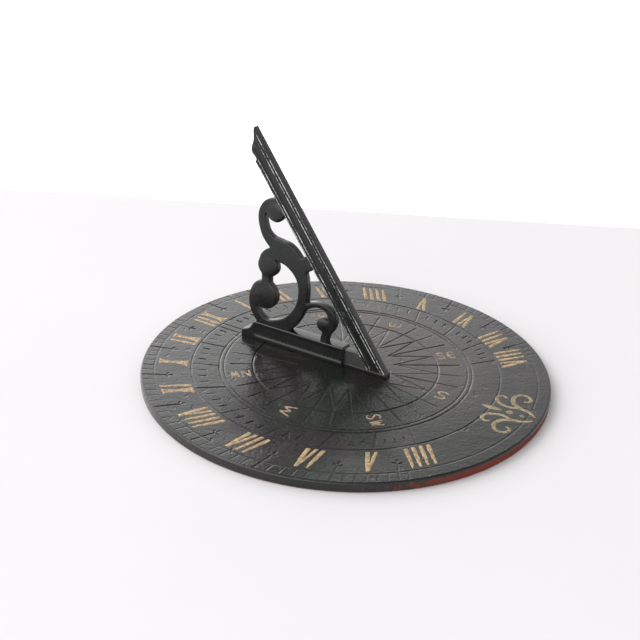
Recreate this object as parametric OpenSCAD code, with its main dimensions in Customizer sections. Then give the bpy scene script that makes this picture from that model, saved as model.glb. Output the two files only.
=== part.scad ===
// Garden sundial: a round horizontal dial plate with cut and gilded markings, and a built-up
// gnomon (style bar, scrollwork bracket, base rail) held by two countersunk screws from below.
// Frame: millimetres, origin at the centre of the underside, +Y to the north, +X to the east,
// +Z up. Heights on the gnomon are measured from the top face of the plate.

/* [Dial plate] */
// Diameter of the round plate
plate_d = 250; // [200:5:320]
// Thickness of the plate
plate_t = 6.4; // [5.5:0.1:9]
// Radius of the soft upper and lower rim edges
rim_round = 1.2; // [0.6:0.1:1.6]

/* [Markings] */
// Depth of every cut line, numeral and letter
cut_depth = 0.5; // [0.3:0.1:0.8]
// Width of a cut line
line_w = 1.3; // [0.9:0.1:1.6]
// How far the gilding stands above the face
gilding_proud = 0.1; // [0.05:0.05:0.2]
// Width of a stroke of the hour numerals
numeral_stroke = 2.4; // [2:0.1:2.8]
// Width of a stroke of the compass letters and the flourish
letter_stroke = 1.6; // [1.2:0.1:2]
// Hours marked before and after noon
hours_each_side = 8; // [6:1:8]
// Share of the drift of a hand-laid dial in the hour lines (0 is a true layout)
hand_drift = 1; // [0:0.1:1]

/* [Style] */
// Latitude of the layout, which is also the slope of the style above the face
latitude = 54.5; // [53:0.5:56]
// Distance from the plate's centre south to the point where the style meets the face
style_offset = 31; // [30:0.5:32]
// Thickness of the style bar, which is also the gap at the noon line
style_t = 5; // [4.5:0.1:6]
// Width of the style bar from its working edges to its rear edge
style_w = 11.4; // [10.8:0.1:12]

/* [Bracket and rail] */
// Thickness of the scrollwork bracket
bracket_t = 4.4; // [3.6:0.1:5]
// Height of the base rail above the face
rail_h = 12.5; // [12:0.1:13]
// Width of the base rail
rail_w = 8.6; // [8:0.1:10]
// Height of the thin foot strip under the style and the rail
strip_h = 2.5; // [2:0.1:3]

/* [Fixings] */
// Nominal diameter of the fixing screws
screw_d = 4; // [3:0.5:4]
// Length of the fixing screws, head included
screw_len = 14; // [12:1:15]

/* [Hidden] */
$fn = 96;
$fa = 3;

plate_r = plate_d / 2;
// The drawn outlines are given for a 250 mm plate and grow with it
k = plate_d / 250;

// Radii of the five turned lines, from the rim inwards
minute_ring_r = 0.935 * plate_r;
chapter_ring_r = 0.756 * plate_r;
hour_ring_r = 0.62 * plate_r;
inner_hour_ring_r = 0.598 * plate_r;
compass_ring_r = 0.457 * plate_r;
rings = [minute_ring_r, chapter_ring_r, hour_ring_r, inner_hour_ring_r, compass_ring_r];

// Bands between the rings
numeral_r = 0.845 * plate_r;
numeral_h = 0.148 * plate_r;
numeral_pitch = 0.0216 * plate_r;
serif_h = 0.012 * plate_r;
letter_r = 0.523 * plate_r;
dash_in_r = 0.69 * plate_r;
dash_out_r = 0.722 * plate_r;
rim_tick_r = 0.985 * plate_r;
sprig_r = 0.872 * plate_r;
spoke_out_r = 0.565 * plate_r;

// The flourish in the gap between the last hours
flourish_turn = 2.5;
flourish_y = -0.85 * plate_r;
flourish_k = 1.14 * k;

// Compass star inside its ring
star_rays = 16;
star_tip_r = 0.45 * plate_r;
hollow_r = 0.24 * plate_r;

offset_k = style_offset * k;
gap_half = style_t * k / 2;

// ---------------------------------------------------------------- small geometry functions

function unit(v) = v / norm(v);
function left_of(v) = [-v.y, v.x];

// One Catmull-Rom span through four control points
function span(a, b, c, d, t) =
    0.5 * (2 * b + (c - a) * t + (2 * a - 5 * b + 4 * c - d) * t * t
           + (3 * b - a - 3 * c + d) * t * t * t);

// A smooth curve through control points, with steps spans between neighbours
function smooth(p, steps = 5) =
    let (last = len(p) - 1)
    [for (i = [0:last - 1], j = [0:steps - 1])
         span(p[max(i - 1, 0)], p[i], p[i + 1], p[min(i + 2, last)], j / steps),
     p[last]];

function flat(p) = [p.x, p.y];
function heading(q, i) =
    unit(flat(q[min(i + 1, len(q) - 1)]) - flat(q[max(i - 1, 0)]));

// The two sides of a band whose control points are [x, y, width]
function edge(q, sign) =
    [for (i = [0:len(q) - 1]) flat(q[i]) + sign * q[i][2] / 2 * left_of(heading(q, i))];
function reversed(p) = [for (i = [len(p) - 1:-1:0]) p[i]];

module band(points, steps = 5) {
    q = smooth(points, steps);
    polygon(concat(edge(q, 1), reversed(edge(q, -1))));
}

// A straight stroke from a to b
module stroke(a, b, w) {
    n = left_of(unit(b - a)) * w / 2;
    polygon([a + n, b + n, b - n, a - n]);
}

// Bearings run clockwise from north
function on_bearing(bearing, r) = r * [sin(bearing), cos(bearing)];

// ---------------------------------------------------------------- hour geometry

// Degrees that a line drifts from its true angle: the morning lines open out the most
function drift(h) = hand_drift * (1 + (h < 0 ? -0.095 : 0.028) * h * h);
// Angle on the dial between the noon line and the line of an hour before (-) or after (+) noon
function hour_angle(h) = atan2(sin(latitude) * sin(15 * h), cos(15 * h)) + drift(h);
// The line starts at the working edge that casts the shadow: west before noon, east after
function hour_origin(h) = [(h < 0 ? -1 : h > 0 ? 1 : 0) * gap_half, -offset_k];
// The point where an hour's line crosses a circle around the centre of the plate
function hour_point(h, r) =
    let (o = hour_origin(h), d = on_bearing(hour_angle(h), 1), b = o * d)
    o + d * (sqrt(b * b - o * o + r * r) - b);

module hour_stroke(h, r_in, r_out, w) {
    stroke(hour_point(h, r_in), hour_point(h, r_out), w);
}

// ---------------------------------------------------------------- marks on the face (flat)

module ring(r) {
    difference() {
        circle(r + line_w / 2);
        circle(r - line_w / 2);
    }
}

module hour_lines() {
    for (h = [-hours_each_side:hours_each_side])
        if (h != 0)
            hour_stroke(h, hour_ring_r, chapter_ring_r, line_w);
    // Noon is two lines, one for each working edge of the style
    for (side = [-1, 1])
        translate([side * gap_half - line_w / 2, hour_ring_r])
            square([line_w, chapter_ring_r - hour_ring_r]);
}

module quarter_dashes() {
    for (q = [-4 * hours_each_side:4 * hours_each_side])
        if (q % 4 != 0)
            hour_stroke(q / 4, dash_in_r, dash_out_r, 1.4 * line_w);
}

module ten_minute_ticks() {
    for (m = [-6 * hours_each_side:6 * hours_each_side])
        if (m != 0 && (m + 6 * hours_each_side) % 6 != 3)
            hour_stroke(m / 6, minute_ring_r, rim_tick_r, line_w);
}

// A half hour is a stem with a three-lobed head that points inwards
module half_hour_sprig(h) {
    p = hour_point(h, sprig_r);
    out = on_bearing(hour_angle(h), 1);
    lobe = 1.5 * k;
    hour_stroke(h, sprig_r, rim_tick_r, line_w);
    translate(p - out * 2 * k) circle(lobe);
    for (side = [-1, 1])
        translate(p + left_of(out) * side * 1.5 * k) circle(lobe * 0.8);
}

module half_hour_sprigs() {
    for (h = [-hours_each_side + 0.5:hours_each_side - 0.5])
        half_hour_sprig(h);
}

// A sixteen-pointed star, grown square to its edges by a distance
module star_shape(grow) {
    half_step = 180 / star_rays;
    // Angle between an edge and the radius at a tip, and at a hollow
    tip_angle = atan2(hollow_r * sin(half_step), star_tip_r - hollow_r * cos(half_step));
    hollow_angle = tip_angle + half_step;
    polygon([for (i = [0:2 * star_rays - 1])
        on_bearing(i * half_step,
                   i % 2 == 0 ? star_tip_r + grow / sin(tip_angle) : hollow_r + grow / sin(hollow_angle))]);
}

// The star's outline, with a spoke from each hollow and from each ray that has no letter
module compass_star() {
    intersection() {
        difference() {
            star_shape(line_w / 2);
            star_shape(-line_w / 2);
        }
        circle(compass_ring_r);
    }
    step = 360 / star_rays;
    for (i = [0:star_rays - 1]) {
        stroke(on_bearing((i + 0.5) * step, hollow_r), on_bearing((i + 0.5) * step, spoke_out_r), line_w);
        if (i % 2 == 1)
            stroke(on_bearing(i * step, compass_ring_r), on_bearing(i * step, spoke_out_r), line_w);
    }
}

module turned_rings() {
    for (r = rings) ring(r);
}

module ruled_lines() {
    hour_lines();
    quarter_dashes();
    ten_minute_ticks();
    half_hour_sprigs();
    compass_star();
}

// ---------------------------------------------------------------- numerals and letters (flat)

// Advance width of each sign, in numeral pitches
function sign_w(c) = c == "I" ? 1.65 : c == "V" ? 2.75 : 2.8;
function text_w(s, n) = n == 0 ? 0 : text_w(s, n - 1) + sign_w(s[n - 1]);

// A point of a numeral leans with the hour's own line
function lean(p, delta) = [p.x - p.y * tan(delta), p.y];

module leaning_stroke(a, b, w, delta) {
    polygon([lean(a + [w / 2, 0], delta), lean(b + [w / 2, 0], delta),
             lean(b - [w / 2, 0], delta), lean(a - [w / 2, 0], delta)]);
}

// One Roman sign, centred, with its foot towards the rim
module sign(c, delta) {
    w = numeral_stroke;
    u = numeral_pitch;
    top = numeral_h / 2;
    if (c == "I")
        leaning_stroke([0, -top], [0, top], w, delta);
    if (c == "V") {
        leaning_stroke([-u * 0.9, top], [-u * 0.1, -top], w, delta);
        leaning_stroke([u * 0.8, top], [u * 0.1, -top], w * 0.85, delta);
    }
    if (c == "X") {
        leaning_stroke([-u * 0.65, top], [u * 0.65, -top], w, delta);
        leaning_stroke([u * 0.65, top], [-u * 0.65, -top], w * 0.85, delta);
        for (y = [-top, top - serif_h])
            polygon([for (c = [[-1, 0], [1, 0], [1, 1], [-1, 1]])
                         lean([c.x * u * 1.3, y + c.y * serif_h], delta)]);
    }
}

function numeral(h) =
    let (clock = (h + 12) % 12)
    ["XII", "I", "II", "III", "IIII", "V", "VI", "VII", "VIII", "IX", "X", "XI"][clock];

module numeral_at(h) {
    s = numeral(h);
    p = hour_point(h, numeral_r);
    bearing = atan2(p.x, p.y);
    total = text_w(s, len(s));
    translate(p) rotate(180 - bearing)
        for (i = [0:len(s) - 1])
            translate([(text_w(s, i) + sign_w(s[i]) / 2 - total / 2) * numeral_pitch, 0])
                sign(s[i], bearing - hour_angle(h));
}

module numerals() {
    for (h = [-hours_each_side:hours_each_side])
        numeral_at(h);
}

// Compass letters w wide and h high, drawn with the letters' stroke width
module letter(c, w, h) {
    t = letter_stroke;
    if (c == "N") {
        stroke([-w / 2, -h / 2], [-w / 2, h / 2], t);
        stroke([-w / 2, h / 2], [w / 2, -h / 2], t);
        stroke([w / 2, -h / 2], [w / 2, h / 2], t);
    }
    if (c == "W") {
        stroke([-w / 2, h / 2], [-w / 4, -h / 2], t);
        stroke([-w / 4, -h / 2], [0, h / 2 - t], t);
        stroke([0, h / 2 - t], [w / 4, -h / 2], t);
        stroke([w / 4, -h / 2], [w / 2, h / 2], t);
    }
    if (c == "S")
        band([[w / 2, h * 0.3, t], [w * 0.2, h / 2, t], [-w * 0.3, h * 0.42, t],
              [-w * 0.4, h * 0.16, t], [0, 0, t], [w * 0.4, -h * 0.16, t],
              [w * 0.3, -h * 0.42, t], [-w * 0.2, -h / 2, t], [-w / 2, -h * 0.3, t]], 2);
    if (c == "E") {
        band([[w / 2, h * 0.32, t], [w * 0.15, h / 2, t], [-w * 0.3, h * 0.34, t],
              [-w * 0.45, 0, t], [-w * 0.3, -h * 0.34, t], [w * 0.15, -h / 2, t],
              [w / 2, -h * 0.32, t]], 2);
        stroke([-w * 0.45, 0], [w * 0.4, 0], t);
    }
}

// Each name reads outwards from the centre
module compass_name(s, bearing) {
    n = len(s);
    w = (n == 1 ? (s == "W" ? 10.5 : 7) : 4.6) * k;
    pitch = w + 2.2 * k;
    translate(on_bearing(bearing, letter_r)) rotate(90 - bearing)
        for (i = [0:n - 1])
            translate([(i - (n - 1) / 2) * pitch, 0]) letter(s[i], w, 8 * k);
}

module compass_names() {
    names = ["N", "NE", "E", "SE", "S", "SW", "W", "NW"];
    for (i = [0:7]) compass_name(names[i], i * 45);
}

// A plain mirrored pair of scrolls around a drop, a little east of south
module flourish_outline() {
    rotate(flourish_turn) translate([0, flourish_y]) scale(flourish_k) {
        for (side = [0, 1])
            mirror([side, 0]) {
                band([[1.5, -13, 1.2], [5, -9, 2], [6.5, -3.5, 2.4], [10, 1.5, 2.4], [15.5, 2.8, 2.2],
                      [19.8, -0.5, 2], [18.6, -5, 1.8], [14.8, -5.4, 1.6], [13.8, -2.8, 1.4]], 3);
                band([[6.5, -3.5, 1.6], [4.5, 2.5, 2], [6.5, 8, 2], [10.8, 10.6, 1.8],
                      [14, 8.2, 1.6], [12.4, 5.6, 1.4]], 3);
            }
        band([[0, 15, 0.8], [0, 10, 3.4], [0, 4, 1.2]], 3);
        circle(1.9);
        translate([0, -6.5]) circle(1.4);
    }
}

// Cuts a flat outline into the face
module engraving() {
    translate([0, 0, plate_t - cut_depth]) linear_extrude(cut_depth + 1) children();
}

// Fills an engraved outline and stands a little above the face
module gilding() {
    translate([0, 0, plate_t - cut_depth]) linear_extrude(cut_depth + gilding_proud) children();
}

// ---------------------------------------------------------------- gnomon outlines (north, up)

style_dir = [cos(latitude), sin(latitude)];
style_front = [-sin(latitude), cos(latitude)];
foot = [-offset_k, 0];
// Points given along the style from its foot, and behind its working edges
function by_style(along, behind) = foot + along * style_dir - behind * style_front;

bar_w = style_w * k;
// Length of moulded bar that the style is cut from
bar_blank_l = 180 * k;

// Everything in front of a line that lies behind the working edges
module style_side(behind = bar_w) {
    far = 400 * k;
    polygon([by_style(-far, behind), by_style(far, behind), by_style(far, -far),
             by_style(-far, -far)]);
}

// Web between the style and the south end of the rail
web_l = 30 * k;
web_drop = 1;
web_lap = 1;

// A V-groove across a face, as [distance behind the working edges, depth]
groove_half = 0.45;
function v_groove(at) = [[at - groove_half, 0], [at, groove_half], [at + groove_half, 0]];

// Cross-section of the style: two pairs of V-grooves with a sunk flat between them
module style_section() {
    t = style_t * k / 2;
    flat_sink = 0.3;
    face = concat([[0, 0]], v_groove(1), v_groove(2.9),
                  [[3.8, 0], [4, flat_sink], [7.3, flat_sink], [7.5, 0]],
                  v_groove(8.4), v_groove(10.4), [[style_w, 0]]);
    east = [for (p = face) [t - p[1] * k, -p[0] * k]];
    polygon(concat(east, [for (p = reversed(east)) [-p.x, p.y]]));
}

// Upper end of the style, from the notch at its rear edge up to the rounded tip
style_end = [[65.9, 118], [66.4, 119.7], [67.4, 120.9], [69.1, 122.5], [69.6, 125.2], [68.7, 129.2],
             [68.2, 133], [68.3, 136.5], [67.9, 138.2], [66.8, 138.6]];

// Side view of the style: cut level at the foot, with a small ogee at the top
module style_outline() {
    low = strip_h;
    far = 60 * k;
    ogee = smooth([for (p = style_end) k * p], 3);
    polygon(concat([[-far, low], [far, low], [2 * far, ogee[0].y]], ogee,
                   [[-far, ogee[len(ogee) - 1].y]]));
}

// The hooks and curls of the bracket: [north, up, width] along each band
main_scroll = [[47.5, 94.2, 5.4], [53.4, 94.5, 5.4], [58.3, 92.3, 5.3], [61.3, 87, 5.3],
               [61.5, 81, 5.4], [59.2, 73.6, 5.8], [55, 69.2, 7.4], [50, 66.6, 10.5],
               [45, 63.9, 14.4], [39.4, 60.4, 13.4], [34.4, 54, 9.8], [31.6, 46.4, 7.4],
               [31.2, 38, 7], [32.9, 29.8, 7.2], [36.8, 22.4, 8], [42.4, 16.2, 9],
               [49.5, 12.8, 8.4], [57.6, 11.6, 7], [64, 15.6, 6], [67.4, 21.2, 6],
               [68.2, 27.4, 6], [66.8, 32.8, 6], [63.4, 36.6, 6], [59.4, 37.8, 6]];
middle_curl = [[45, 61, 10], [51.5, 61.6, 8.6], [57, 60.8, 5.8], [60.2, 57, 5.6], [61.2, 51.4, 5.4]];
small_scroll = [[33, 29.4, 4], [28.6, 31.9, 3.8], [24, 34.4, 3.4], [19.2, 35.3, 3.3],
                [14.6, 34.4, 3.8], [11, 31.6, 5.2], [9.8, 27.2, 5.6], [10.8, 22.6, 5.4],
                [13.6, 18.4, 5.3], [15, 14, 5.3], [15.2, 10, 5.3]];
upper_ball = [52, 88.6, 6.5];
middle_ball = [57, 52.2, 7.4];
lower_ball = [59.8, 32, 9.7];
small_ball = [16, 23.1, 4.8];

// Square link from the bracket to the style: its height along the style, reach and width
link_at = 83.8 * k;
link_reach = 21 * k;
link_w = 9.4 * k;

// The five scrolls and balls, each as a plate of its own thickness
module bracket_pieces() {
    for (p = [main_scroll, middle_curl, small_scroll])
        upright(bracket_t) scale(k) band(p);
    for (b = [upper_ball, middle_ball, lower_ball, small_ball])
        upright(bracket_t) scale(k) translate([b[0], b[1]]) circle(b[2]);
    // Neck between the two large balls
    upright(bracket_t) scale(k) stroke([58.4, 40], [58.4, 48], 6.4);
    upright(bracket_t) stroke(by_style(link_at, bar_w), by_style(link_at, link_reach), link_w);
}

rail_end = 65.5 * k;
toe_end = 75.5 * k;
panel_sink = 0.4;
// The foot strip stops short of the point where the style meets the face
strip_l = offset_k - 1.6 * k;
strip_w = style_t * k + 1;

// Side view of the rail with its hollow-curved toe
module rail_outline() {
    toe = smooth([[rail_end, rail_h], [67.2 * k, 10.2 * k], [69, 7.4] * k, [72.2, 5.6] * k,
                  [74.8, 4.6] * k, [toe_end, 3 * k]]);
    polygon(concat([[0, 0], [0, rail_h]], toe, [[toe_end, 0]]));
}

// Lengthways sunk panel between the upper and lower fillets of the rail
module rail_panel() {
    low = strip_h + 0.4;
    high = rail_h - 1.9;
    polygon([[1.5 * k, low], [1.5 * k, high], [rail_end - 1.5 * k, high], [rail_end + 1.5 * k, low]]);
}

// Turns a (north, up) outline into a plate of thickness t, centred on the noon line
module upright(t) {
    translate([0, 0, plate_t]) rotate([90, 0, 90]) linear_extrude(t, center = true) children();
}

// ---------------------------------------------------------------- screws

screw_at = [9 * k, 55 * k];
head_d = 2 * screw_d;
head_h = 0.55 * screw_d;
// The heads lie a little above the underside, so that the plate rests flat
head_sink = 0.3;
head_land = 0.3;
point_chamfer = 0.6;
slot_w = 1;
slot_depth = 0.9;
head_gap = 0.1;
shank_gap = 0.25;
tapping_gap = 0.05;

module at_screws() {
    for (y = screw_at) translate([0, y, 0]) children();
}

module screw() {
    difference() {
        rotate_extrude()
            polygon([[0, head_sink], [head_d / 2, head_sink], [head_d / 2, head_sink + head_land],
                     [screw_d / 2, head_sink + head_h], [screw_d / 2, screw_len - point_chamfer],
                     [screw_d / 2 - point_chamfer, screw_len], [0, screw_len]]);
        translate([-head_d, -slot_w / 2, 0]) cube([2 * head_d, slot_w, head_sink + slot_depth]);
    }
}

// Room for a screw through the plate
module screw_seat() {
    r = head_d / 2 + head_gap;
    shank = screw_d / 2 + shank_gap;
    cone_z = head_sink + head_land;
    translate([0, 0, -1]) cylinder(h = plate_t + 2, r = shank);
    translate([0, 0, -1]) cylinder(h = cone_z + 1, r = r);
    translate([0, 0, cone_z]) cylinder(h = r - shank, r1 = r, r2 = shank);
}

// ---------------------------------------------------------------- sub-parts

module dial_plate() {
    color("#3b3e3d") difference() {
        rotate_extrude()
            polygon([[0, 0], [plate_r - rim_round, 0], [plate_r - 0.3 * rim_round, 0.3 * rim_round],
                     [plate_r, rim_round], [plate_r, plate_t - rim_round],
                     [plate_r - 0.3 * rim_round, plate_t - 0.3 * rim_round],
                     [plate_r - rim_round, plate_t], [0, plate_t]]);
        engraving() turned_rings();
        engraving() {
            ruled_lines();
            numerals();
            compass_names();
            flourish_outline();
        }
        at_screws() screw_seat();
    }
}

module style_bar() {
    color("#34373a") {
        intersection() {
            upright(style_t * k + 2) style_outline();
            translate([0, -offset_k, plate_t]) rotate([90 + latitude, 0, 0])
                translate([0, 0, -bar_blank_l]) linear_extrude(bar_blank_l) style_section();
        }
        // Thin web that fills the corner between the style and the rail
        upright(bracket_t) difference() {
            translate([-web_l, strip_h]) square([web_l, rail_h - web_drop - strip_h]);
            style_side(bar_w - web_lap);
        }
    }
}

module scroll_bracket() {
    color("#3a3d3b") difference() {
        bracket_pieces();
        upright(bracket_t + 1) style_side();
        // Everything below the top of the rail
        upright(bracket_t + 1) translate([0, -rail_h]) square([2 * toe_end, 2 * rail_h]);
    }
}

module base_rail() {
    color("#303332") difference() {
        union() {
            upright(rail_w) rail_outline();
            // Foot strip under the style
            upright(strip_w) translate([-strip_l, 0]) square([strip_l, strip_h]);
        }
        for (side = [-1, 1])
            translate([side * rail_w / 2, 0, 0]) upright(2 * panel_sink) rail_panel();
        at_screws() translate([0, 0, plate_t - 1])
            cylinder(h = screw_len - plate_t + 2, r = screw_d / 2 + tapping_gap);
    }
}

module gnomon_screws() {
    color("#8a8478") at_screws() screw();
}

module hour_numerals() {
    color("#cfae7c") gilding() numerals();
}

module compass_letters() {
    color("#d8bda0") gilding() compass_names();
}

module flourish() {
    color("#cfae7c") gilding() flourish_outline();
}

dial_plate();
style_bar();
scroll_bracket();
base_rail();
gnomon_screws();
hour_numerals();
compass_letters();
flourish();
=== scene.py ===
"""Garden sundial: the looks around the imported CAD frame.

Metres outside, millimetres inside: every outline and relief is worked out in millimetres in the
frame's own axes (x east, y north, z up, origin at the centre of the underside), and mesh_object()
turns it into metres at the end.
"""

import math

import bpy
import numpy as np
from mathutils import Matrix, Vector
from mathutils.geometry import delaunay_2d_cdt


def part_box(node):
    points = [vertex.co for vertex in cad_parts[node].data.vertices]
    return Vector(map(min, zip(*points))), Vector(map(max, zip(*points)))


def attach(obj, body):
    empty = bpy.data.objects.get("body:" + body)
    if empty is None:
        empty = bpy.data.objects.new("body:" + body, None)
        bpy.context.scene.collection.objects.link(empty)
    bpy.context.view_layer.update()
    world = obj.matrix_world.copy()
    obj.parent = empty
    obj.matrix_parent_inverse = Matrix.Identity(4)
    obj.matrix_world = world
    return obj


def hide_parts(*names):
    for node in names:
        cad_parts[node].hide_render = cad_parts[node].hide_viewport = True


MM = 0.001
BODY = "root"

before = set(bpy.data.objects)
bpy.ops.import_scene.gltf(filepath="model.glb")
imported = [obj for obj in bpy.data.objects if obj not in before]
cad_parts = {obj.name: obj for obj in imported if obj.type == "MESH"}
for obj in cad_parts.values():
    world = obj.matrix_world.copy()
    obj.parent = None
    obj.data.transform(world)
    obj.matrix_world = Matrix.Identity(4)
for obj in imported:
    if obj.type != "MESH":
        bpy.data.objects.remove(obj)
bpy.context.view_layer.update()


# -------------------- layout of the dial, in mm

# Radius of the plate and height of its face, from the CAD
PLATE_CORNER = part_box("dial_plate")[1]
R, TOP = PLATE_CORNER.x / MM, PLATE_CORNER.z / MM

# The style's slope, the start of the hour lines south of the centre, and the gap at noon
LATITUDE = math.radians(54.5)
STYLE_OFFSET = 0.248 * R
NOON_HALF_GAP = 0.02 * R
# Hours on each side of noon, and how a line drifts off its true bearing in the CAD: in degrees for
# all of them, and in degrees per hour squared before and after noon
HOURS = 8
DRIFT_ALL, DRIFT_BEFORE, DRIFT_AFTER = 1, -0.095, 0.028

# Turned lines, from the rim inwards, and how deep each one still reads through the paint
MINUTE_RING = 0.935 * R
CHAPTER_RING = 0.756 * R
HOUR_RING = 0.62 * R
INNER_RING = 0.598 * R
COMPASS_RING = 0.457 * R
RING_DEPTHS = {MINUTE_RING: 0.13, CHAPTER_RING: 0.22, HOUR_RING: 0.32, INNER_RING: 0.24,
               COMPASS_RING: 0.34}

# Reach of the other marks from the centre, and the two screws under the rail
STAR_TIP = 0.45 * R
STAR_HOLLOW = 0.24 * R
SPOKE_OUT = 0.565 * R
DASH_IN, DASH_OUT = 0.69 * R, 0.722 * R
TICK_OUT = 0.985 * R
SPRIG_IN = 0.872 * R
SCREWS = [np.array([0.0, 0.072 * R]), np.array([0.0, 0.44 * R])]


def bearing_vector(bearing):
    """Unit vector at a bearing in degrees, clockwise from north."""
    a = math.radians(bearing)
    return np.array([math.sin(a), math.cos(a)])


def drift(h):
    """Degrees that an hour's line drifts from its true bearing."""
    return DRIFT_ALL + (DRIFT_BEFORE if h < 0 else DRIFT_AFTER) * h * h


def hour_direction(h):
    """Direction of an hour's line: tan(angle) = sin(latitude) tan(15 degrees x hours from noon)."""
    a = math.radians(15 * h)
    angle = math.atan2(math.sin(LATITUDE) * math.sin(a), math.cos(a))
    return bearing_vector(math.degrees(angle) + drift(h))


def hour_point(h, r):
    """Where an hour's line crosses the circle of radius r."""
    start = np.array([np.sign(h) * NOON_HALF_GAP, -STYLE_OFFSET])
    d = hour_direction(h)
    b = start @ d
    return start + d * (math.sqrt(b * b - start @ start + r * r) - b)


# -------------------- small numpy tools

def gradient_noise(points, wavelength, seed):
    """Smooth noise from about -1 to 1 over the plane."""
    angles = np.random.default_rng(seed).uniform(0, 2 * math.pi, (64, 64))
    q = np.asarray(points) / wavelength + 31.7
    cell = np.floor(q).astype(int)
    f = q - cell
    fade = f * f * f * (f * (f * 6 - 15) + 10)
    corner = {}
    for i in (0, 1):
        for j in (0, 1):
            a = angles[(cell[:, 0] + i) % 64, (cell[:, 1] + j) % 64]
            corner[i, j] = np.cos(a) * (f[:, 0] - i) + np.sin(a) * (f[:, 1] - j)
    low = corner[0, 0] + fade[:, 0] * (corner[1, 0] - corner[0, 0])
    high = corner[0, 1] + fade[:, 0] * (corner[1, 1] - corner[0, 1])
    return 1.5 * (low + fade[:, 1] * (high - low))


def unevenness(points, *layers):
    """The sum of layers of noise, each (height, wavelength, seed)."""
    return sum(height * gradient_noise(points, wave, seed) for height, wave, seed in layers)


def smoothstep(t):
    """0 to 1 as t goes from 0 to 1, level at both ends."""
    t = np.clip(t, 0, 1)
    return t * t * (3 - 2 * t)


def segment_distance(points, a, b):
    """Distance of each point to the segment from a to b."""
    ab = b - a
    t = np.clip((points - a) @ ab / max(ab @ ab, 1e-12), 0, 1)
    return np.linalg.norm(points - a - t[:, None] * ab, axis=1)


def loop_distance(points, loop):
    """Distance of each point to a closed outline."""
    nearest = np.full(len(points), 1e9)
    for a, b in zip(loop, np.roll(loop, -1, axis=0)):
        nearest = np.minimum(nearest, segment_distance(points, a, b))
    return nearest


def in_loop(points, loop):
    """Even-odd test of each point against a closed outline."""
    x, y = points[:, 0], points[:, 1]
    inside = np.zeros(len(points), bool)
    for (ax, ay), (bx, by) in zip(loop, np.roll(loop, -1, axis=0)):
        crosses = (ay > y) != (by > y)
        with np.errstate(divide="ignore", invalid="ignore"):
            at = ax + (y - ay) * (bx - ax) / (by - ay)
        inside ^= crosses & (x < at)
    return inside


def depth_in(points, islands):
    """Depth of each point inside a union of islands, each a list of loops (outline, then holes)."""
    best = np.full(len(points), -1e9)
    for loops in islands:
        every = np.vstack(loops)
        low, high = every.min(0) - 2, every.max(0) + 2
        near = np.flatnonzero(((points > low) & (points < high)).all(1))
        if not len(near):
            continue
        p = points[near]
        inside = np.zeros(len(p), bool)
        distance = np.full(len(p), 1e9)
        for loop in loops:
            inside ^= in_loop(p, loop)
            distance = np.minimum(distance, loop_distance(p, loop))
        best[near] = np.maximum(best[near], np.where(inside, distance, -distance))
    return best


def resampled(loop, step):
    """A closed outline with points about a step apart."""
    closed = np.vstack([loop, loop[:1]])
    along = np.r_[0, np.cumsum(np.linalg.norm(np.diff(closed, axis=0), axis=1))]
    n = max(8, int(round(along[-1] / step)))
    at = np.linspace(0, along[-1], n, endpoint=False)
    return np.column_stack([np.interp(at, along, closed[:, i]) for i in (0, 1)])


def relaxed(loop, rounds):
    """A closed outline with its corners eased."""
    for _ in range(rounds):
        loop = (np.roll(loop, 1, axis=0) + 2 * loop + np.roll(loop, -1, axis=0)) / 4
    return loop


def outward(loop):
    """Unit normals that point out of a counter-clockwise outline."""
    t = np.roll(loop, -1, axis=0) - np.roll(loop, 1, axis=0)
    t /= np.maximum(np.linalg.norm(t, axis=1), 1e-9)[:, None]
    return np.column_stack([t[:, 1], -t[:, 0]])


def turn(loop):
    """Twice the signed area: positive when the outline runs counter-clockwise."""
    x, y = loop[:, 0], loop[:, 1]
    return float(x @ np.roll(y, -1) - y @ np.roll(x, -1))


def circle(r, count, centre=(0.0, 0.0)):
    """Points round a circle, clockwise from north as seen from above."""
    a = np.linspace(0, 2 * math.pi, count, endpoint=False)
    return np.column_stack([np.sin(a), np.cos(a)]) * r + np.array(centre)


def stadium(a, b, r, step):
    """Closed outline at distance r around the segment from a to b."""
    d = (b - a) / max(np.linalg.norm(b - a), 1e-9)
    side = np.array([-d[1], d[0]])
    n = max(1, int(round(np.linalg.norm(b - a) / step)))
    run = [a + (b - a) * i / n for i in range(n + 1)]
    caps = [math.pi * i / 4 for i in (1, 2, 3)]
    loop = [p + side * r for p in run]
    loop += [b + r * (math.cos(t) * side + math.sin(t) * d) for t in caps]
    loop += [p - side * r for p in run[::-1]]
    loop += [a - r * (math.cos(t) * side + math.sin(t) * d) for t in caps]
    return np.array(loop)


class Net:
    """Points and constraint lines for one flat triangulation."""

    def __init__(self):
        self.points, self.edges = [], []

    def add(self, line, closed=True):
        """Adds a line of points, joined in their order, and returns their numbers."""
        first = len(self.points)
        self.points += [tuple(p) for p in line]
        n = len(line)
        self.edges += [(first + i, first + i + 1) for i in range(n - 1)]
        if closed:
            self.edges.append((first + n - 1, first))
        return list(range(first, first + n))

    def scatter(self, points):
        self.points += [tuple(p) for p in points]

    def triangulate(self):
        """(points, triangles, map from the points given to those made)."""
        flat = [Vector(p) for p in self.points]
        verts, _, faces, origins, _, _ = delaunay_2d_cdt(flat, self.edges, [], 0, 1e-4)
        made = {}
        for i, given in enumerate(origins):
            for g in given:
                made[g] = i
        return np.array([tuple(v) for v in verts]), np.array([tuple(f) for f in faces]), made


def grid(low, high, step):
    """A staggered grid of points over a box."""
    rows = np.arange(low[1], high[1], step * 0.87)
    columns = np.arange(low[0], high[0], step)
    return np.array([(x + (j % 2) * step / 2, y) for j, y in enumerate(rows) for x in columns])


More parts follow.
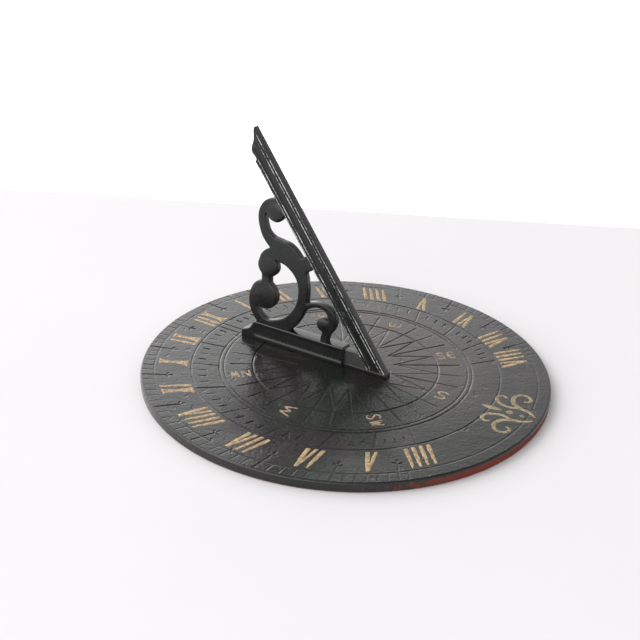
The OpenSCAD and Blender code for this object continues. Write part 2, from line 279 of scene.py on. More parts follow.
def filled(islands, insets, step, clear, rows=()):
    """Fills islands with triangles: (points, triangles, depth of each point inside the islands).

    The points run along every outline at the insets, along the rows, and on a grid that keeps
    clear of the outlines.
    """
    net = Net()
    for loops in islands:
        for loop in loops:
            for inset in insets:
                net.add(loop - outward(loop) * inset)
    for line in rows:
        net.add(line, closed=False)
    every = np.vstack([loop for loops in islands for loop in loops])
    p = grid(every.min(0), every.max(0), step)
    net.scatter(p[depth_in(p, islands) > clear])
    flat, faces, _ = net.triangulate()
    faces = faces[depth_in(flat[faces].mean(1), islands) > 0]
    used = np.unique(faces)
    renumber = np.full(len(flat), -1)
    renumber[used] = np.arange(len(used))
    return flat[used], renumber[faces], np.maximum(depth_in(flat[used], islands), 0)


# -------------------- meshes and pieces

def mesh_object(name, points, faces, material, normals=None, masks=None, sharp=None):
    """A piece on the object, from points in millimetres, with masks for its material."""
    mesh = bpy.data.meshes.new(name)
    metres = [tuple(p) for p in np.asarray(points) * MM]
    mesh.from_pydata(metres, [], [tuple(f) for f in faces], shade_flat=False)
    mesh.validate()
    if sharp is not None:
        mesh.set_sharp_from_angle(angle=math.radians(sharp))
    for mask, values in (masks or {}).items():
        layer = mesh.attributes.new(mask, "FLOAT", "POINT")
        layer.data.foreach_set("value", np.asarray(values, np.float32))
    if normals is not None:
        mesh.normals_split_custom_set_from_vertices([tuple(n) for n in normals])
    mesh.materials.append(material)
    mesh.update()
    piece = bpy.data.objects.new(name, mesh)
    bpy.context.scene.collection.objects.link(piece)
    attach(piece, BODY)
    return piece


def closed_sheet(name, upper, lower, faces, material, masks=None, sharp=50):
    """A solid between two surfaces with the same triangles, walled along their edges."""
    n = len(upper)
    uses = {(a, b) for f in faces for a, b in zip(f, np.roll(f, -1))}
    walls = [(b, a, a + n, b + n) for a, b in uses if (b, a) not in uses]
    every = [tuple(f) for f in faces] + [tuple(f[::-1] + n) for f in faces] + walls
    points = np.vstack([upper, lower])
    return mesh_object(name, points, every, material, masks=masks, sharp=sharp)


def level_edges(node, axis, level):
    """Directed edges of a CAD node's faces on one level, each with the number of its face."""
    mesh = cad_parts[node].data
    keys = [tuple(round(c / MM, 3) for c in v.co) for v in mesh.vertices]
    edges = {}
    for face in mesh.polygons:
        corners = [keys[i] for i in face.vertices]
        if all(abs(c[axis] - level) < 0.01 for c in corners):
            for a, b in zip(corners, corners[1:] + corners[:1]):
                edges[a, b] = face.index
    return edges


def closed_loops(steps):
    """The loops of points in a map from each point to the next one."""
    loops = []
    while steps:
        start, here = next(iter(steps.items()))
        del steps[start]
        loop = [start]
        while here != start:
            loop.append(here)
            here = steps.pop(here)
        loops.append(loop)
    return loops


def node_outlines(node, axis, level):
    """Islands of a CAD node's flat face: loops of points in mm, in the two other axes."""
    edges = level_edges(node, axis, level)
    owner = {face: face for face in edges.values()}

    def island(face):
        while owner[face] != face:
            face = owner[face]
        return face

    for (a, b), face in edges.items():
        if (b, a) in edges:
            owner[island(face)] = island(edges[b, a])
    outlines = {}
    for (a, b), face in edges.items():
        if (b, a) not in edges:
            outlines.setdefault(island(face), {})[a] = b
    islands = []
    for steps in outlines.values():
        loops = [np.delete(np.array(loop), axis, axis=1) for loop in closed_loops(steps)]
        loops.sort(key=lambda loop: -abs(turn(loop)))
        islands.append([loop if (turn(loop) > 0) == (i == 0) else loop[::-1]
                        for i, loop in enumerate(loops)])
    return islands


# -------------------- the face of the dial

# Half width and depth of a cut; the ticks in the rim band are the shallowest
LINE_HALF, LINE_DEPTH = 0.9, 0.34
DASH_HALF, DASH_DEPTH = 1.0, 0.38
TICK_DEPTH = 0.15
# Rows of points beside a cut, as shares of its half width
GROOVE_ROWS = (0.25, 0.5, 0.75, 1.0)
# Marks of a half-hour sprig, outwards from its root: the bud's two ends, and the leaves'
# sideways ends and droop; then the half widths of bud and leaf
BUD, LEAF, LEAF_DROOP = (-1.1, -3.2), (0.8, 2.4), 0.6
BUD_HALF, LEAF_HALF = 1.25, 1.05
# Each cut was pressed harder or softer than its neighbours, by this share of its depth
HAND = (0.45, 1.15)
STAR_RAYS = 16


def stroke(a, b, half=LINE_HALF, depth=LINE_DEPTH):
    """A straight cut on the face: (from, to, half width, depth)."""
    return np.array(a, float), np.array(b, float), half, depth


def hour_stroke(h, r_in, r_out, *size):
    """A cut along an hour's line from one circle to another."""
    return stroke(hour_point(h, r_in), hour_point(h, r_out), *size)


def hour_strokes():
    """The hour lines, noon's two lines, the quarter-hour dashes and the ten-minute ticks."""
    cuts = [hour_stroke(h, HOUR_RING, CHAPTER_RING) for h in range(-HOURS, HOURS + 1) if h]
    cuts += [stroke((x, HOUR_RING), (x, CHAPTER_RING)) for x in (-NOON_HALF_GAP, NOON_HALF_GAP)]
    cuts += [hour_stroke(q / 4, DASH_IN, DASH_OUT, DASH_HALF, DASH_DEPTH)
             for q in range(-4 * HOURS, 4 * HOURS + 1) if q % 4]
    cuts += [hour_stroke(m / 6, MINUTE_RING, TICK_OUT, LINE_HALF, TICK_DEPTH)
             for m in range(-6 * HOURS, 6 * HOURS + 1) if m and m % 6 != 3]
    return cuts


def sprig_strokes():
    """The half-hour sprigs: a stem out to the rim, a bud and two leaves."""
    cuts = []
    for i in range(-HOURS, HOURS):
        h = i + 0.5
        root, out = hour_point(h, SPRIG_IN), hour_direction(h)
        across = np.array([-out[1], out[0]])
        cuts.append(hour_stroke(h, SPRIG_IN, TICK_OUT))
        cuts.append(stroke(root + BUD[0] * out, root + BUD[1] * out, BUD_HALF))
        for side in (-1, 1):
            tip = root + across * side * LEAF[1] - LEAF_DROOP * out
            cuts.append(stroke(root + across * side * LEAF[0], tip, LEAF_HALF))
    return cuts


def star_strokes():
    """The rays of the compass star and the spokes between them."""
    cuts = []
    step = 360 / STAR_RAYS
    for i in range(STAR_RAYS):
        tip, hollow = bearing_vector(step * i), bearing_vector(step * (i + 0.5))
        before = bearing_vector(step * (i - 0.5))
        cuts.append(stroke(tip * STAR_TIP, hollow * STAR_HOLLOW))
        cuts.append(stroke(tip * STAR_TIP, before * STAR_HOLLOW))
        cuts.append(stroke(hollow * STAR_HOLLOW, hollow * SPOKE_OUT))
        if i % 2:
            cuts.append(stroke(tip * COMPASS_RING, tip * SPOKE_OUT))
    return cuts


CUTS = hour_strokes() + sprig_strokes() + star_strokes()


def swell(points):
    """The slow unevenness of a hand-finished casting, in mm."""
    return unevenness(points, (0.06, 24, 1), (0.045, 11, 2), (0.02, 5.2, 3))


def face_height(points):
    """Height of the painted face above its nominal level, in mm."""
    pressed = np.clip(1 + unevenness(points, (0.55, 15, 4), (0.3, 4.5, 6)), 0.15, 1.6)
    cut = np.zeros(len(points))
    radius = np.linalg.norm(points, axis=1)
    for ring, depth in RING_DEPTHS.items():
        s = smoothstep(np.abs(radius - ring) / LINE_HALF)
        cut = np.maximum(cut, depth * (1 - s))
    shares = np.random.default_rng(7).uniform(*HAND, len(CUTS))
    for (a, b, half, full), share in zip(CUTS, shares):
        depth = full * share
        low, high = np.minimum(a, b) - half, np.maximum(a, b) + half
        near = np.flatnonzero(((points > low) & (points < high)).all(1))
        if len(near):
            s = smoothstep(segment_distance(points[near], a, b) / half)
            cut[near] = np.maximum(cut[near], depth * (1 - s))
    return swell(points) - cut * pressed


def face_normals(points, step=0.04):
    """Normals of the painted face, from its height a small step to the east and north."""
    level = face_height(points)
    east = (face_height(points + [step, 0]) - level) / step
    north = (face_height(points + [0, step]) - level) / step
    n = np.column_stack([-east, -north, np.ones(len(points))])
    return n / np.linalg.norm(n, axis=1)[:, None]


# Mean level of the uneven face; the roll of the rim, its waviness and how far it stays inside
FACE = TOP - 0.12
RIM_ROUND, RIM_WAVE, RIM_INSIDE = 1.3, 0.06, 0.1
# Points round the rim and round a screw hole, and spacing on a ring, a cut, the face and below
RIM_POINTS, SCREW_POINTS = 540, 28
RING_STEP, CUT_STEP, FACE_STEP, UNDER_STEP = 1.5, 2.5, 2.0, 7.0
# Countersunk seats in the underside: radii, the straight land below and the height of the cone
SEAT_R, SHANK_R = 4.1, 2.25
SEAT_LAND, SEAT_CONE = 0.6, 1.85


class Shell:
    """A closed surface, gathered row by row with its normals."""

    def __init__(self):
        self.points, self.normals, self.faces = [], [], []

    def row(self, points, normals):
        """Adds points with their normals and returns their numbers."""
        first = sum(len(p) for p in self.points)
        self.points.append(np.asarray(points, float))
        self.normals.append(np.asarray(normals, float))
        return list(range(first, first + len(points)))

    def bridge(self, row, new):
        """Quads between two closed rows of the same length."""
        for i in range(len(row)):
            j = (i + 1) % len(row)
            self.faces.append((row[i], row[j], new[j], new[i]))
        return new


def without_screws(points, faces, radius):
    """The triangles that lie outside the screw holes."""
    for c in SCREWS:
        faces = faces[np.linalg.norm(points[faces].mean(1) - c, axis=1) > radius - 0.05]
    return faces


def face_net(outer_r):
    """Net over the dial face: the rim, rows along each cut, the screw holes and a loose grid."""
    net = Net()
    rim = net.add(circle(outer_r, RIM_POINTS))
    for ring in RING_DEPTHS:
        for s in np.linspace(-1, 1, 9):
            r = ring + s * LINE_HALF
            net.add(circle(r, int(2 * math.pi * r / RING_STEP)))
    for a, b, half, _ in CUTS:
        net.add([a, b], closed=False)
        for s in GROOVE_ROWS:
            net.add(stadium(a, b, s * half, CUT_STEP))
    holes = [net.add(circle(SHANK_R, SCREW_POINTS, c)) for c in SCREWS]
    p = grid((-R, -R), (R, R), FACE_STEP)
    net.scatter(p[np.linalg.norm(p, axis=1) < outer_r - 1.0])
    return net, rim, holes


def under_net(rim):
    """Net over the underside, between the rim and the seats of the two screws."""
    net = Net()
    edge = net.add(rim)
    seats = [net.add(circle(SEAT_R, SCREW_POINTS, c)) for c in SCREWS]
    p = grid((-R, -R), (R, R), UNDER_STEP)
    p = p[np.linalg.norm(p, axis=1) < R - 6]
    for c in SCREWS:
        p = p[np.linalg.norm(p - c, axis=1) > SEAT_R + 1.5]
    net.scatter(p)
    return net, edge, seats


def add_rim(shell, row, level):
    """Rolls the edge of the face over, down the slightly wavy side and under.

    row holds the points of the edge and level their heights; the last row is returned.
    """
    spoke = circle(1.0, RIM_POINTS)
    wave = unevenness(spoke * R, (RIM_WAVE, 30, 5)) - RIM_INSIDE
    quarter = [(math.sin(t), math.cos(t)) for t in np.radians((18, 36, 54, 72, 90))]
    side_top = FACE - RIM_ROUND

    def rim_row(out, z, up):
        r = R - RIM_ROUND * (1 - out) + wave * out
        points = np.column_stack([spoke * r[:, None], level * 0 + z])
        return shell.row(points, np.column_stack([spoke * math.sqrt(1 - up * up), level * 0 + up]))

    for out, up in quarter:
        row = shell.bridge(row, rim_row(out, side_top + up * (level - side_top), up))
    for z in np.linspace(side_top, RIM_ROUND, 5)[1:]:
        row = shell.bridge(row, rim_row(1.0, z, 0.0))
    for out, up in quarter[-2::-1] + [(0.0, 1.0)]:
        row = shell.bridge(row, rim_row(out, RIM_ROUND * (1 - up), -up))
    return row


def add_face(shell):
    """The cut face; returns the points of its rim and of its two screw holes."""
    net, rim, holes = face_net(R - RIM_ROUND)
    flat, faces, made = net.triangulate()
    shell.row(np.column_stack([flat, FACE + face_height(flat)]), face_normals(flat))
    shell.faces += [tuple(f) for f in without_screws(flat, faces, SHANK_R)]
    return [made[i] for i in rim], [[made[i] for i in hole] for hole in holes]


def add_underside(shell, last):
    """The flat underside, joined to the last row of the rim; returns the points of the seats."""
    net, edge, seats = under_net(shell.points[-1][:, :2])
    flat, faces, made = net.triangulate()
    down = np.tile([0, 0, -1.0], (len(flat), 1))
    under = shell.row(np.column_stack([flat, np.zeros(len(flat))]), down)
    weld = {under[made[i]]: r for i, r in zip(edge, last)}
    for f in without_screws(flat, faces, SEAT_R):
        shell.faces.append(tuple(weld.get(under[i], under[i]) for i in f[::-1]))
    return [[under[made[i]] for i in seat] for seat in seats]


def add_seats(shell, seats, holes):
    """The countersunk seats, from the underside up to the screw holes in the face."""
    spoke = circle(1.0, SCREW_POINTS)
    level = np.zeros(SCREW_POINTS)
    inward = np.column_stack([-spoke, level])
    for centre, row, hole in zip(SCREWS, seats, holes):
        for r, z in ((SEAT_R, SEAT_LAND), (SHANK_R, SEAT_LAND + SEAT_CONE)):
            step = np.column_stack([spoke * r + centre, level + z])
            row = shell.bridge(row, shell.row(step, inward))
        shell.bridge(row, hole)


def build_plate(material):
    """The dial plate: cut face, rolled rim, flat underside with two countersunk seats."""
    shell = Shell()
    rim, holes = add_face(shell)
    last = add_rim(shell, rim, shell.points[0][rim, 2])
    add_seats(shell, add_underside(shell, last), holes)
    plate = mesh_object("dial_plate_cast", np.vstack(shell.points), shell.faces, material,
                        normals=np.vstack(shell.normals))
    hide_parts("dial_plate")


# -------------------- gilding

# Levels of the paint about the face: its edge, its crown and its hidden back
PAINT_EDGE = -0.08
PAINT_CROWN = 0.15
PAINT_UNDER = 0.35
# Width over which a stroke rises from its edge to its crown, and spacing of the edge's points
PAINT_ROLL = 0.62
PAINT_STEP = 0.55


def numeral_taper(points):
    """Each brush stroke thins towards the rim."""
    radius = np.linalg.norm(points, axis=1)
    return -0.42 * smoothstep((radius - 0.83 * R) / (0.09 * R))


def gilded(name, node, material, spread, seed, taper=None):
    """Brushed paint that fills a node's cut marks: crowned, with an unsteady edge.

    spread is how far it runs over the edge of a mark, and taper changes that over the face.
    """
    islands = []
    for loops in node_outlines(node, 2, TOP + 0.1):
        eased = []
        for loop in loops:
            line = relaxed(resampled(loop, PAINT_STEP), 2)
            waver = unevenness(line, (0.22, 3.1, seed), (0.13, 1.3, seed + 1))
            over = spread + (taper(line) if taper else 0) + waver
            eased.append(line + outward(line) * over[:, None])
        islands.append(eased)
    flat, faces, depth = filled(islands, (0, 0.14, 0.34, PAINT_ROLL), 2 * PAINT_STEP, 0.75)
    crown = PAINT_EDGE + (PAINT_CROWN - PAINT_EDGE) * np.sqrt(np.clip(depth / PAINT_ROLL, 0, 1))
    brush = unevenness(flat, (0.06, 1.7, seed + 2)) * (depth > 0.2)
    upper = np.column_stack([flat, FACE + swell(flat) + crown + brush])
    lower = np.column_stack([flat, np.full(len(flat), FACE - PAINT_UNDER)])
    piece = closed_sheet(name, upper, lower, faces, material)
    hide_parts(node)


# -------------------- the gnomon

def let_in(loop, normal, level, depth):
    """Moves the part of an outline that lies on a joint line into the neighbour."""
    n = np.array(normal)
    on_line = np.abs(loop @ n - level) < 0.06
    return loop + np.where(on_line, depth, 0)[:, None] * n


# Insets of the rows that mesh a rounded edge, as shares of its radius
EDGE_STEPS = [1 - math.cos(math.radians(a)) for a in (0, 22, 45, 67, 90)]
# How far wear reaches in from an edge, and the other masks of the gnomon's paint
WEAR_REACH = 0.5
MARKS = ("bare", "painted_sheen", "glossy")


def slab(name, islands, half, edge, material, rows=(), shape=None, marks=None):
    """A plate seen from the side (north, height above the face), rounded along its outline.

    half is half its thickness and edge the radius of its corners. rows are more lines to mesh
    along, shape(points, depth) gives a change of the half thickness, and marks holds functions
    of the points for how far the paint is "bare" (rubbed through, and partly a painted highlight),
    "painted_sheen" (a painted lighter sheen) and "glossy".
    """
    insets = [s * edge for s in EDGE_STEPS]
    flat, faces, depth = filled(islands, insets, SLAB_STEP, edge + 0.4, rows)
    rounding = edge - np.sqrt(np.maximum(edge ** 2 - np.maximum(edge - depth, 0) ** 2, 0))
    thick = half - rounding + (shape(flat, depth) if shape else 0)
    side = flat + (0, TOP)
    east, west = np.column_stack([thick, side]), np.column_stack([-thick, side])
    masks = {"wear": np.tile(np.exp(-depth / WEAR_REACH), 2)}
    for mark in MARKS:
        values = marks[mark](flat) if marks and mark in marks else np.zeros(len(flat))
        masks[mark] = np.tile(values, 2)
    return closed_sheet(name, east, west, faces, material, masks, 40)


# The style's line: unit vectors along it and behind it, and the foot where it meets the face
STYLE_DIR = np.array([math.cos(LATITUDE), math.sin(LATITUDE)])
STYLE_BACK = np.array([math.sin(LATITUDE), -math.cos(LATITUDE)])
STYLE_FOOT = np.array([-STYLE_OFFSET, 0.0])
# Widths, half thicknesses, heights above the face, northern ends, and the strip's two ends
BAR_W, BAR_HALF = 11.4, 2.5
STRIP_H, RAIL_H, RAIL_HALF = 2.5, 12.5, 4.3
RAIL_END, TOE_END = 65.5, 75.5
STRIP_ENDS = (-29.4, 1)
BRACKET_HALF = 2.2
# How far the bracket goes into its neighbours, and the rail into the plate
TENON, BEDDED = 0.9, 0.3
# Reeds and sunk flat of the bar, by their distance behind its working edges
BAR_REEDS = (1.0, 2.9, 8.5, 10.4)
REED_HALF, REED_RISE = 0.55, 0.4
BAR_FLAT, BAR_FLAT_SINK = (3.9, 7.4), 0.35
# The reeds stop on a slanting line under the ogee
REED_END, REED_SLANT = 169.3, 1.75
# Sunk panel on the side of the rail: inset at its end, lower and upper edge, depth; the fillets
PANEL_INSET, PANEL_LOW, PANEL_HIGH, PANEL_SINK = 1.5, 2.9, RAIL_H - 1.9, 0.45
FILLETS = (2.6, RAIL_H - 1.4)
# The four balls (north, up, radius) and how far each one swells
BALLS = ((52.0, 88.6, 6.5), (57.0, 52.2, 7.4), (59.8, 32.0, 9.7), (16.0, 23.1, 4.8))
BALL_RISE = 0.9
# Outlines (north, up): the ogee at the upper end of the bar and the hollow toe of the rail
STYLE_END = [(65.9, 118), (66.4, 119.7), (67.4, 120.9), (69.1, 122.5), (69.6, 125.2), (68.7, 129.2),
             (68.2, 133), (68.3, 136.5), (68.0, 138.2), (67.5, 138.5)]
TOE = [(RAIL_END, RAIL_H), (67.2, 10.2), (69, 7.4), (72.2, 5.6), (74.8, 4.6), (TOE_END, 3)]
# Spacing of points along the style and the rail, and on the grid over a side
ROW_STEP, SLAB_STEP = 1.6, 2.2


def by_style(along, behind):
    """A point (north, up) given along the style from its foot and behind its working edges."""
    return STYLE_FOOT + along * STYLE_DIR + behind * STYLE_BACK


def behind_style(points):
    """Distance of each point behind the working edges."""
    return (points - STYLE_FOOT) @ STYLE_BACK


def along_style(points):
    """Distance of each point up the style from its foot."""
    return (points - STYLE_FOOT) @ STYLE_DIR


def on_level(behind, level):
    """The point at a height above the face on the line that lies behind the working edges."""
    along = (level - behind * STYLE_BACK[1]) / STYLE_DIR[1]
    return by_style(along, behind)


def curve_through(points, steps):
    """Catmull-Rom curve through control points."""
    p = np.array(points, float)
    p = np.vstack([2 * p[0] - p[1], p, 2 * p[-1] - p[-2]])
    out = []
    for a, b, c, d in zip(p, p[1:], p[2:], p[3:]):
        for t in np.arange(steps) / steps:
            out.append(0.5 * (2 * b + (c - a) * t + (2 * a - 5 * b + 4 * c - d) * t ** 2
                              + (3 * b - a - 3 * c + d) * t ** 3))
    return np.array(out + [p[-2]])


def eased_outline(loop, step=0.7, rounds=1):
    """A closed outline in short steps with eased corners, counter-clockwise."""
    loop = relaxed(resampled(np.asarray(loop, float), step), rounds)
    return loop if turn(loop) > 0 else loop[::-1]


def reed_profile(points):
    """1 on the crest of each reed along the sides of the style, falling to 0 beside it."""
    b = behind_style(points)
    along = along_style(points)
    crest = np.zeros(len(b))
    for at in BAR_REEDS:
        crest = np.maximum(crest, np.sqrt(np.clip(1 - (np.abs(b - at) / REED_HALF) ** 2, 0, 1)))
    return crest * smoothstep((REED_END - REED_SLANT * b - along) / 2.5)


def bar_shape(points, depth):
    """Reeds and the sunk flat along the sides of the style."""
    b = behind_style(points)
    middle = (BAR_FLAT[0] + BAR_FLAT[1]) / 2
    side = (np.abs(b - middle) - (BAR_FLAT[1] - BAR_FLAT[0]) / 2) / 0.25
    sunk = BAR_FLAT_SINK * (1 - smoothstep(side + 0.5))
    filed = unevenness(points, (0.06, 6, 21)) * (depth > 0.3)
    return REED_RISE * (reed_profile(points) - 1) - sunk + filed


def reed_wear_and_glint(points):
    """The crests of the reeds are rubbed bright, in stretches: partly wear, partly a painted highlight
    for the glints that they catch.
    """
    along = along_style(points)
    across = behind_style(points)
    stretch = gradient_noise(np.column_stack([along * 0.35, across * 2.1]), 3.0, 22)
    return reed_profile(points) ** 2 * (1 + 0.35 * stretch)


def build_style(material):
    """The moulded style bar and the thin web behind its foot."""
    end = curve_through(STYLE_END, 5)
    notch = on_level(BAR_W, STYLE_END[0][1])
    foot = [on_level(0, STRIP_H - 0.6), on_level(BAR_W, STRIP_H - 0.6)]
    loop = eased_outline(np.vstack([foot, [notch], end]))
    rows = []
    for at in BAR_REEDS:
        rows += [at + s * REED_HALF for s in (-1, -0.85, -0.5, 0, 0.5, 0.85, 1)]
    for at in BAR_FLAT:
        rows += [at - 0.12, at + 0.12]
    low, high = along_style(loop).min(), along_style(loop).max()
    lines = []
    for b in rows:
        line = np.array([by_style(t, b) for t in np.arange(low + 1, high, ROW_STEP)])
        lines.append(line[depth_in(line, [[loop]]) > 0.1])
    bar = slab("style_moulding", [[loop]], BAR_HALF, 0.45, material, lines, bar_shape,
               {"bare": reed_wear_and_glint})
    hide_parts("style_bar")
    web = [on_level(BAR_W - 1, STRIP_H - 0.5), (0.6, STRIP_H - 0.5), (0.6, RAIL_H - 1.0),
           on_level(BAR_W - 1, RAIL_H - 1.0)]
    slab("style_web", [[eased_outline(web, 0.8)]], BRACKET_HALF, 0.6, material,
         marks={"painted_sheen": web_painted_sheen})


def ball_shape(points, depth):
    """Gentle domes on the balls, over the slight unevenness of a sand casting."""
    dome = np.zeros(len(points))
    for north, up, r in BALLS:
        reach = np.linalg.norm(points - (north, up), axis=1) / r
        dome = np.maximum(dome, BALL_RISE * np.clip(1 - reach ** 2, 0, 1))
    return (dome + unevenness(points, (0.06, 9, 31))) * np.clip(depth / 0.8, 0, 1)


def build_bracket(material):
    """The scrollwork, from the outline of its CAD node."""
    islands = []
    for loops in node_outlines("scroll_bracket", 0, BRACKET_HALF):
        fitted = []
        for loop in loops:
            above = loop - (0, TOP)
            above = let_in(above, (0, -1), -RAIL_H, TENON)
            above = let_in(above, -STYLE_BACK, -(BAR_W + STYLE_FOOT @ STYLE_BACK), TENON)
            fitted.append(relaxed(resampled(above, 0.7), 1))
        islands.append(fitted)
    bracket = slab("scroll_casting", islands, BRACKET_HALF, 0.75, material, shape=ball_shape)
    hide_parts("scroll_bracket")


def rail_shape(points, _):
    """The sunk panel along the sides of the rail, between soft fillets."""
    north, up = points.T
    inside = np.minimum(np.minimum(north - PANEL_INSET, RAIL_END - north),
                        np.minimum(up - PANEL_LOW, PANEL_HIGH - up))
    return unevenness(points, (0.05, 12, 41)) - PANEL_SINK * smoothstep(inside / 0.6 + 0.5)


def rail_wear_and_glint(points):
    """The fillets above and below the sunk panel are rubbed a little: partly wear, partly a painted
    highlight for the glints along them.
    """
    north, up = points.T
    line = np.minimum(np.abs(up - FILLETS[0]), np.abs(up - FILLETS[1]))
    return 0.7 * np.clip(1 - line / 0.5, 0, 1) * smoothstep((RAIL_END - north) / 3)


def rail_gloss(points):
    """The top of the rail has kept its gloss."""
    return smoothstep((points[:, 1] - RAIL_H + 0.35) / 0.3)


def web_painted_sheen(points):
    """A painted sheen: the thin web is lightened a little all over, standing in for the light it
    reflects.
    """
    return np.full(len(points), 0.12)


def build_rail(material):
    """The base rail with its hollow toe, and the foot strip under the style."""
    base = [(TOE_END, 0.0), (TOE_END, -BEDDED), (0, -BEDDED), (0, RAIL_H)]
    outline = np.vstack([base, curve_through(TOE, 5)])
    rows = []
    for inset in (-0.3, 0, 0.3):
        for up in (PANEL_LOW + inset, PANEL_HIGH - inset):
            along = np.arange(PANEL_INSET + inset, RAIL_END - inset, ROW_STEP)
            rows.append(np.column_stack([along, np.full(len(along), up)]))
    rail = slab("rail_casting", [[eased_outline(outline)]], RAIL_HALF, 0.6, material, rows, rail_shape,
                {"bare": rail_wear_and_glint, "glossy": rail_gloss})
    south, north = STRIP_ENDS
    strip = [(south, -BEDDED), (north, -BEDDED), (north, STRIP_H), (south, STRIP_H)]
    slab("foot_strip", [[eased_outline(strip, 0.6)]], BAR_HALF + 0.5, 0.5, material)
    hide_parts("base_rail")


# -------------------- materials

class Nodes:
    """The node tree of a material or a world, with short calls for its nodes."""

    def __init__(self, owner, shader="Principled BSDF", place="Object"):
        owner.use_nodes = True
        self.owner, self.tree = owner, owner.node_tree
        self.shader = self.tree.nodes[shader]
        self.place = self.new("ShaderNodeTexCoord").outputs[place]

    def new(self, kind, inputs=None, **settings):
        """A node of a kind, with its inputs by name or number and its settings."""
        node = self.tree.nodes.new(kind)
        for key, value in settings.items():
            setattr(node, key, value)
        for key, value in (inputs or {}).items():
            self.put(node.inputs[key], value)
        return node

    def put(self, socket, value):
        """Links or sets a socket, or leaves it alone for None."""
        if isinstance(value, bpy.types.NodeSocket):
            self.tree.links.new(value, socket)
        elif value is not None:
            socket.default_value = value

    def set(self, **sockets):
        """Sets the shader's sockets."""
        for name, value in sockets.items():
            self.put(self.shader.inputs[name.replace("_", " ")], value)

    def noise(self, scale, detail=3.0, rough=0.5, stretch=None, turned=0.0):
        """Noise from 0 to 1, with scale in cycles a metre, drawn out along a direction."""
        vector = self.place
        if stretch:
            inputs = {"Vector": vector, "Scale": stretch, "Rotation": (0, 0, turned)}
            vector = self.new("ShaderNodeMapping", inputs, vector_type="TEXTURE").outputs[0]
        inputs = {"Vector": vector, "Scale": scale, "Detail": detail, "Roughness": rough}
        return self.new("ShaderNodeTexNoise", inputs).outputs["Fac"]

    def mask(self, name):
        """A value that the mesh carries at its points."""
        return self.new("ShaderNodeAttribute", attribute_name=name).outputs["Fac"]

    def axes(self):
        """The three components of the place."""
        return self.new("ShaderNodeSeparateXYZ", {0: self.place}).outputs

    def math(self, operation, a, b=None):
        return self.new("ShaderNodeMath", {0: a, 1: b}, operation=operation).outputs[0]

    def plus(self, a, b):
        return self.math("ADD", a, b)

    def minus(self, a, b):
        return self.math("SUBTRACT", a, b)

    def times(self, first, *others):
        for other in others:
            first = self.math("MULTIPLY", first, other)
        return first

    def length(self, a, b):
        """Length of a vector from its two components."""
        return self.math("SQRT", self.plus(self.times(a, a), self.times(b, b)))

    def band(self, value, low, high, out_low=0.0, out_high=1.0, curve="SMOOTHSTEP"):
        """Maps value from low..high to out_low..out_high, clamped."""
        inputs = dict(enumerate((value, low, high, out_low, out_high)))
        return self.new("ShaderNodeMapRange", inputs, interpolation_type=curve).outputs[0]

    def mix(self, factor, a, b):
        """Colour a where the factor is 0 and b where it is 1."""
        inputs = {"Factor": factor, "A": a, "B": b}
        return self.new("ShaderNodeMix", inputs, data_type="RGBA").outputs["Result"]

    def bump(self, height, distance):
        """Relief of the paint film, in metres for a height of 1."""
        inputs = {"Height": height, "Distance": distance}
        self.set(Normal=self.new("ShaderNodeBump", inputs).outputs["Normal"])


def paint(name):
    """The nodes of a new material."""
    return Nodes(bpy.data.materials.new(name))


def rgb(r, g, b):
    """A linear colour for a socket."""
    return (r, g, b, 1.0)


# Direction of the brush marks in the plate's paint, and the middle of its crazed patch, which is also
# dulled there as painted shade
BRUSHED = math.radians(-55)
CRAZED_SHADE_AT = (-0.052, -0.012)
# Colours of the plate: two casts of the black, scuffs, the brown bloom, and two of the primer
GREEN_BLACK, WARM_BLACK = rgb(0.0065, 0.0098, 0.0058), rgb(0.0135, 0.0092, 0.0108)
SCUFFED, BROWNED = rgb(0.026, 0.025, 0.024), rgb(0.038, 0.024, 0.022)
DARK_PRIMER, PRIMER = rgb(0.12, 0.026, 0.018), rgb(0.2, 0.045, 0.03)


def enamel_black(n, x, y, r):
    """Colour of the enamel: green and warm by turns, scuffed, browner inside the dial's east."""
    tint = n.band(n.noise(24, 3), 0.38, 0.62)
    black = n.mix(tint, GREEN_BLACK, WARM_BLACK)
    black = n.mix(n.band(n.noise(160, 5, 0.65), 0.55, 0.8), black, SCUFFED)
    inner = n.band(r, 0.55 * R * MM, 0.8 * R * MM, 1.0, 0.0)
    easterly = n.band(n.minus(x, n.times(y, 0.45)), -0.01, 0.06)
    brown = n.times(inner, easterly, n.band(n.noise(38, 4), 0.25, 0.6))
    return n.mix(brown, black, BROWNED)


def bare_primer(n, x, y, z, r):
    """1 on the underside, and low on the side of the rim from the south round to the south-west."""
    bearing = n.math("ARCTAN2", n.minus(0.0, x), n.minus(0.0, y))
    ragged = n.times(n.minus(n.noise(260, 4, 0.6), 0.5), 0.9)
    turn_in = n.band(n.plus(bearing, ragged), -0.5, 0.0)
    turn_out = n.band(n.plus(bearing, ragged), 0.45, 0.95, 1.0, 0.0)
    height = n.band(n.plus(z, n.times(ragged, 0.0022)), 0.0042, 0.0052, 1.0, 0.0)
    side = n.band(r, (R - 2.0) * MM, (R - 0.9) * MM)
    worn = n.times(turn_in, turn_out, n.times(height, side))
    under = n.band(z, 0.0003, 0.0009, 1.0, 0.0)
    return n.math("MAXIMUM", worn, n.times(under, n.band(n.noise(60, 4), 0.3, 0.45)))


def crazed_and_shade_patch(n, x, y, z):
    """1 where old paint has crazed, on the face west of the rail; the patch is also painted shade,
    dulled to darken the face where the gnomon's shade and dark reflection fall.
    """
    away = n.length(n.minus(x, CRAZED_SHADE_AT[0]), n.minus(y, CRAZED_SHADE_AT[1]))
    away = n.plus(away, n.times(n.minus(n.noise(45, 4, 0.6), 0.5), 0.05))
    return n.times(n.band(z, 0.003, 0.0045), n.band(away, 0.04, 0.068, 1.0, 0.0))


